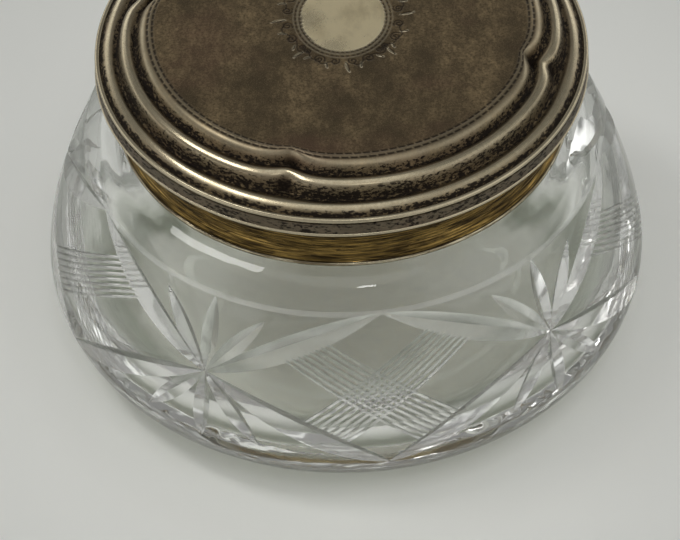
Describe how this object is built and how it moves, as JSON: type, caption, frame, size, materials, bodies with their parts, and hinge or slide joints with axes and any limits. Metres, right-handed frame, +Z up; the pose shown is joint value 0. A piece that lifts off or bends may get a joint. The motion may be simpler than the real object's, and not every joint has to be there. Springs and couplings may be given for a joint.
{
  "type": "lidded glass dressing-table jar",
  "caption": "Squat cut-glass jar with a gilt collar and a stepped, scalloped silver lift-off lid, for keeping small salon or dressing-table supplies covered.",
  "frame": {"origin": "centre of the flat the jar stands on", "axes": "+Z up along the jar's axis, -Y towards the viewer of the front diamond"},
  "size_m": [0.132, 0.132, 0.081],
  "materials": {
    "cut_glass": "polished",
    "plaster": "matte",
    "gilt_collar": "worn",
    "gilt_wire": "polished",
    "gilt_bezel": "satin",
    "gilt_liner": "satin",
    "gilt_lining": "satin",
    "tarnished_silver": "tarnished",
    "silver_wire": "worn",
    "brown_silver": "tarnished",
    "skirt_wire": "worn"
  },
  "bodies": {
    "jar": {"glass_bowl": "cut_glass", "cement_bed": "plaster", "collar_band": "gilt_collar", "collar_foot_wire": "gilt_wire", "collar_bezel": "gilt_bezel"},
    "lid_mount": {"lid_liner_ring": "gilt_liner"},
    "lid": {"lid_lining": "gilt_lining", "lid_cover": "tarnished_silver", "lid_edge_wire": "silver_wire", "lid_skirt": "brown_silver", "lid_skirt_wire": "skirt_wire"}
  },
  "joints": [
    {"name": "lid_lift", "type": "slide", "parent": "jar", "child": "lid_mount", "axis": [0, 0, 1], "range_m": [0, 0.03]},
    {"name": "lid_turn", "type": "hinge", "parent": "lid_mount", "child": "lid", "pos_m": [0, 0, 0.075], "axis": [0, 0, 1], "continuous": true}
  ]
}
